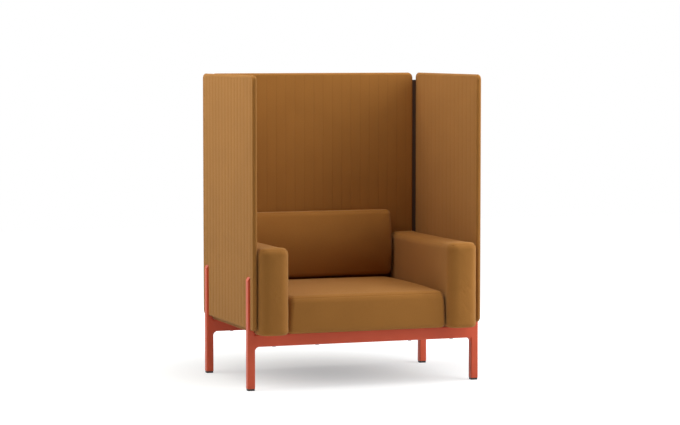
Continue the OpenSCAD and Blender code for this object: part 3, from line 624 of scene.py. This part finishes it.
def smooth(piece):
    """One subdivision, made part of the mesh."""
    finer = piece.modifiers.new("Smooth", "SUBSURF")
    finer.levels = finer.render_levels = 1
    drawn = bpy.context.evaluated_depsgraph_get()
    coarse, piece.data = piece.data, bpy.data.meshes.new_from_object(piece.evaluated_get(drawn))
    piece.modifiers.clear()
    bpy.data.meshes.remove(coarse)
    piece.data.name = piece.name


# %% [markdown]
# A cushion fills the box of its node, so the swollen skin is first scaled to it. A seam then pulls the
# cloth in along a line, and leaves a low lip on either side of it, where the allowance of the cloth
# lies folded below. Its thread also gathers the cloth into faint ripples. Last, the cushion settles
# against what it touches: a point that has gone past a neighbour's face is put back on that face. The
# stapled side is hollowed behind the wood that closes it.

# %% Fit, seams and settling
# The groove of a seam, and the lip beside it as a share of the groove's depth
GROOVE_REACH, LIP_AT, LIP_REACH, LIP_SHARE = 1.7 * MM, 5 * MM, 2.2 * MM, 0.3
# The ripples along a seam: height, length, the length over which they wander, and reach
RIPPLE_HEIGHT, RIPPLE_LENGTH, RIPPLE_DRIFT, RIPPLE_REACH = 0.2 * MM, 19 * MM, 83 * MM, 9 * MM


def fit(mesh, low, high):
    """Scales the mesh along each axis so that it fills a box."""
    points = read(mesh.vertices, "co", 3)
    least, most = points.min(axis=0), points.max(axis=0)
    move_points(mesh, low + (points - least) * (high - low) / (most - least))


def press_seams(mesh, depth):
    """Moves each point along its normal: in by a bell at the seam, out by a ring beside it, and in
    and out by a ripple that fades away from it."""
    points, normals = read(mesh.vertices, "co", 3), read(mesh.vertices, "normal", 3)
    away = read(mesh.attributes["seam"].data, "value", 1)
    lip = LIP_SHARE * np.exp(-(((away - LIP_AT) / LIP_REACH) ** 2))
    groove = np.exp(-((away / GROOVE_REACH) ** 2)) - lip
    along, across = points[:, 1] + points[:, 0], points[:, 1] - points[:, 0]
    drift = 2 * np.sin(2 * math.pi * across / RIPPLE_DRIFT)
    ripple = np.sin(2 * math.pi * along / RIPPLE_LENGTH + drift)
    lift = RIPPLE_HEIGHT * ripple * np.exp(-away / RIPPLE_REACH) - depth * groove
    move_points(mesh, points + normals * lift[:, None])


def pucker(mesh, panel, depth, long=22 * MM, wide=4 * MM, start=12 * MM, deepest=16 * MM, near=60 * MM):
    """Where the seam turns a corner, the cloth below it gathers into one short dent that runs down the
    corner: along the normal, a bell across it times a bell along it, from start downwards. near keeps
    the dent to the corner."""
    points, normals = read(mesh.vertices, "co", 3), read(mesh.vertices, "normal", 3)
    up, top = panel
    flat = [k for k in range(3) if k != up]
    middle = (points.max(axis=0) + points.min(axis=0)) / 2
    half = (points.max(axis=0) - points.min(axis=0)) / 2
    past = np.abs(points - middle)[:, flat] - half[flat]
    below = half[up] - (points - middle)[:, up] * top
    across = (past[:, 0] - past[:, 1]) / math.sqrt(2)
    dent = np.exp(-((across / wide) ** 2)) * np.exp(-(((below - deepest) / long) ** 2))
    dent = dent * (below > start)
    at_corner = past.sum(axis=1) > -near
    move_points(mesh, points - normals * (depth * dent * at_corner)[:, None])


def settle(mesh, low, high):
    """Puts points that have passed a box back on its faces."""
    move_points(mesh, np.clip(read(mesh.vertices, "co", 3), low, high))


def hollow(mesh, axis, side, wood, depth=5 * MM, border=4 * MM, flat=2 * MM):
    """Moves the points of one side in by depth, where they lie within the outline of the wood, less a
    border. Points farther in than flat are no part of that side."""
    points = read(mesh.vertices, "co", 3)
    low, high = node_box(wood)
    others = [k for k in range(3) if k != axis]
    within = ((points > low + border) & (points < high - border))[:, others].all(axis=1)
    reach = points[:, axis] * side
    points[within & (reach > reach.max() - flat), axis] -= side * depth
    move_points(mesh, points)


# %% [markdown]
# Each cushion has its own cut, in millimetres: the radii of its corners and of its edges at their low
# and high ends, the grid, the crown, and the belly. peak and fall have no unit: they say where the crown
# is highest and how much of it is lost at its ends. Then come how far the cloth may swell along each
# axis, the depths of seams and puckers, and how far the cushion may pass the box of its node on each
# side. The arms press on the screens, and the seat fits between the arms, so those sides have next to
# no room. A cushion's panel and its stapled side are each an axis and a side.

# %% Make the cushions
ARM = dict(plan=(46, 32), edge=(17, 29), grid=8, crown=0, peak=0, fall=1, belly=0,
           swell=(1, 5, 8), panel=(2, 1), pinned=(2, -1), seam=0.7, pucker=1.5)
CUTS = {
    "left_arm": dict(ARM, past=((0, 1), (4, 0), (2, 9)), wood="left_arm_frame"),
    "right_arm": dict(ARM, past=((1, 0), (4, 0), (2, 9)), wood="right_arm_frame"),
    "seat": dict(plan=(20, 36), edge=(18, 32), grid=10, crown=12, peak=0.15, fall=0.35, belly=2,
                 swell=(1, 4, 6), panel=(2, 1), pinned=(2, -1), seam=1.5, pucker=0.6,
                 past=((1, 1), (5, 0), (2, 0)), wood="seat_base_cloth"),
    "back": dict(plan=(28, 21), edge=(21, 10), grid=8, crown=34, peak=-0.1, fall=0.1, belly=0,
                 swell=(2, 5, 2), panel=(1, -1), pinned=(1, 1), seam=0.7, pucker=0.6,
                 past=((12, 12), (0, 0), (0, 0)), wood="back_board"),
}


def cushion_block(name, cut):
    """A cushion's skin before it is blown up: its block, cut to its crown and belly, less what it will
    swell, and put where its node is."""
    low, high = node_box(name + "_cover")
    low, high = low + np.array(cut["swell"]) * MM, high - np.array(cut["swell"]) * MM
    up, top = cut["panel"]
    size = high - low - cut["crown"] * MM * (np.arange(3) == up)
    middle = (low + high) / 2 - top * cut["crown"] * MM / 2 * (np.arange(3) == up)
    radii = [np.array(cut[key]) * MM for key in ("plan", "edge")]
    grids, seams = block(size, *radii, cut["grid"] * MM, cut["panel"])
    shape = [cut["panel"], cut["crown"] * MM, cut["peak"], cut["fall"], cut["belly"] * MM]
    piece = skin(name + "_cushion", [cut_to_shape(g, size, *shape) + middle for g in grids], seams)
    pin(piece, *cut["pinned"])
    return piece


cushions = {name: cushion_block(name, cut) for name, cut in CUTS.items()}
blow_up([(cushions[name], np.array(cut["swell"]) * MM) for name, cut in CUTS.items()])
for name, cut in CUTS.items():
    piece = cushions[name]
    smooth(piece)
    low, high = node_box(name + "_cover")
    past = np.array(cut["past"]) * MM
    fit(piece.data, low - past[:, 0], high + past[:, 1])
    press_seams(piece.data, cut["seam"] * MM)
    pucker(piece.data, cut["panel"], cut["pucker"] * MM)
    settle(piece.data, low - past[:, 0], high + past[:, 1])
    hollow(piece.data, *cut["pinned"], cut["wood"])
    dress(piece, seat_cloth, name + "_cover")

# %% [markdown]
# ## Floor and surroundings
#
# The floor is a pale matt sheet. Where the lamps reach it, it should be white in the picture, and where
# the chair stands in their way it should keep a soft shade. So it also glows for rays that come from
# the camera, the more the farther from a middle just behind the chair, and blends into a white
# surround. The weaker glow near the chair is painted shade that adds to the lamps' real shadow, and to
# the camera the floor is a darker blue grey than the colour it bounces, which is painted shade too.
# The glow is only seen by the camera and in reflections, and lights nothing.

# %% Floor and world
# The glow is least at its middle and full at its reach: the weaker glow near the chair is painted shade
GLOW_MIDDLE, GLOW_REACH, LEAST_GLOW = (0, 0.3, 0), 1.6, 0.4


def floor_sheet(reach=9.0, drop=0.5 * MM, lines=7):
    """A flat square sheet of the given half width, just below the feet."""
    along = np.linspace(-reach, reach, lines)
    x, y = np.meshgrid(along, along, indexing="ij")
    mesh = bpy.data.meshes.new("floor")
    points = np.stack([x, y, np.full_like(x, -drop)], axis=-1).reshape(-1, 3)
    mesh.from_pydata(points, [], grid_faces(lines, lines)[:, ::-1])
    sheet = bpy.data.objects.new("floor", mesh)
    bpy.context.scene.collection.objects.link(sheet)
    return sheet


def seen_directly(tree):
    """1 for rays from the camera, in reflections and through clear things, or else 0."""
    path = add(tree, "LightPath", {}).outputs
    seen = add(tree, "Math", {0: path["Is Camera Ray"], 1: path["Is Glossy Ray"]}, operation="MAXIMUM")
    seen = add(tree, "Math", {0: seen.outputs[0], 1: path["Is Transmission Ray"]}, operation="MAXIMUM")
    return seen.outputs[0]


floor = floor_sheet()
material, tree = new_material("pale studio floor with painted shade")
place = add(tree, "TexCoord", {}).outputs["Object"]
away = add(tree, "VectorMath", {0: place, 1: GLOW_MIDDLE}, operation="DISTANCE").outputs["Value"]
glow = add(
    tree,
    "MapRange",
    {0: away, 1: 0.0, 2: GLOW_REACH, 3: LEAST_GLOW, 4: 1.0},
    interpolation_type="SMOOTHSTEP",
)
seen = seen_directly(tree)
strength = add(tree, "Math", {0: glow.outputs[0], 1: seen}, operation="MULTIPLY")
# Painted shade: to the camera the floor is a darker blue grey than the pale colour it bounces, which
# deepens and tints its shadow
shade = add(tree, "Mix", {0: seen, 6: linear("#e6e9ee"), 7: linear("#b7babf")}, data_type="RGBA")
matt = add(tree, "BsdfDiffuse", {"Color": shade.outputs[2], "Roughness": 0.5})
light = add(tree, "Emission", {"Color": linear("#ffffff"), "Strength": strength.outputs[0]})
finish_surface(tree, add(tree, "AddShader", {0: matt.outputs[0], 1: light.outputs[0]}))
floor.data.materials.append(material)

world = bpy.data.worlds.new("studio")
bpy.context.scene.world = world
world.use_nodes = True
tree = world.node_tree
tree.nodes.clear()
white = add(tree, "Background", {"Color": linear("#ffffff"), "Strength": seen_directly(tree)})
add(tree, "OutputWorld", {"Surface": white.outputs[0]})
print("floor and surroundings made")

# %% [markdown]
# ## Lamps
#
# The light is that of a product studio: a soft box above, one high on the left, two in front on the
# right at two heights, and two weak ones on the left and the right that come from behind. They stand
# near the chair, so their light falls off across it. The powers come from a fit: the chair was rendered
# with one lamp at a time, and the sum that came nearest to the photograph's shades was worked out.
# Three of the lamps are a little warm and three a little cool. A lamp is aimed by turning its own -Z
# axis at the chair.
#
# Each lamp has its turn to the right of the chair's front and its rise in degrees, its watts and tint.

# %% Soft boxes
WARM, COOL = "#fffbed", "#f0f6ff"
LAMP_SIDE, LAMP_FAR, LAMP_AIM = 2.6, 2.6, Vector((0, 0, 0.7))
LAMPS = {
    "top_box": (0, 89, 38, WARM),
    "left_high_box": (-90, 42, 50, WARM),
    "right_low_box": (60, 20, 49, WARM),
    "right_high_box": (60, 42, 33, COOL),
    "left_rear_box": (-120, 20, 11, COOL),
    "rear_fill": (165, 25, 8, COOL),
}


def aim(thing, place, target):
    """Puts a lamp or camera in place, looking at the target."""
    thing.location = place
    thing.rotation_euler = (Vector(target) - Vector(place)).to_track_quat("-Z", "Y").to_euler()


def around(turn, rise, far):
    """The point far from the chair's middle, turned from its front to the right and raised."""
    turn, rise = math.radians(turn), math.radians(rise)
    flat = math.cos(rise)
    return Vector((math.sin(turn) * flat, -math.cos(turn) * flat, math.sin(rise))) * far


for name, (turn, rise, power, tint) in LAMPS.items():
    lamp = bpy.data.lights.new(name, "AREA")
    lamp.shape, lamp.size, lamp.energy, lamp.color = "SQUARE", LAMP_SIDE, power, linear(tint)[:3]
    box = bpy.data.objects.new(name, lamp)
    box.visible_camera = False
    bpy.context.scene.collection.objects.link(box)
    aim(box, LAMP_AIM + around(turn, rise, LAMP_FAR), LAMP_AIM)
print("lamps:", ", ".join(f"{name} {values[2]} W" for name, values in LAMPS.items()))

# %% [markdown]
# ## Camera
#
# The picture was taken with a long lens from 20 degrees to the chair's left, with the camera held a
# little above its middle and tipped down by 4 degrees. A long lens from far off keeps upright lines
# nearly parallel. The numbers come from matching the corners of frame and screens to the picture.

# %% Camera
AZIMUTH, PITCH, DISTANCE = -19.984, 3.995, 11.227
TARGET_X, TARGET_Z = 0.0005, 0.7603
FOCAL_LENGTH, FILM_WIDTH = 128.6, 36
middle_y = (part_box("front_left_leg")[0].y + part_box("rear_left_leg")[1].y) / 2
target = Vector((TARGET_X, middle_y, TARGET_Z))
camera = bpy.data.objects.new("camera", bpy.data.cameras.new("camera"))
bpy.context.scene.collection.objects.link(camera)
camera.data.lens, camera.data.sensor_width = FOCAL_LENGTH, FILM_WIDTH
camera.data.sensor_fit = "HORIZONTAL"
camera.data.clip_end = 100
aim(camera, target + around(AZIMUTH, PITCH, DISTANCE), target)
bpy.context.scene.camera = camera
bpy.context.scene.view_settings.view_transform = "Standard"
print("camera at", [round(v, 3) for v in camera.location])
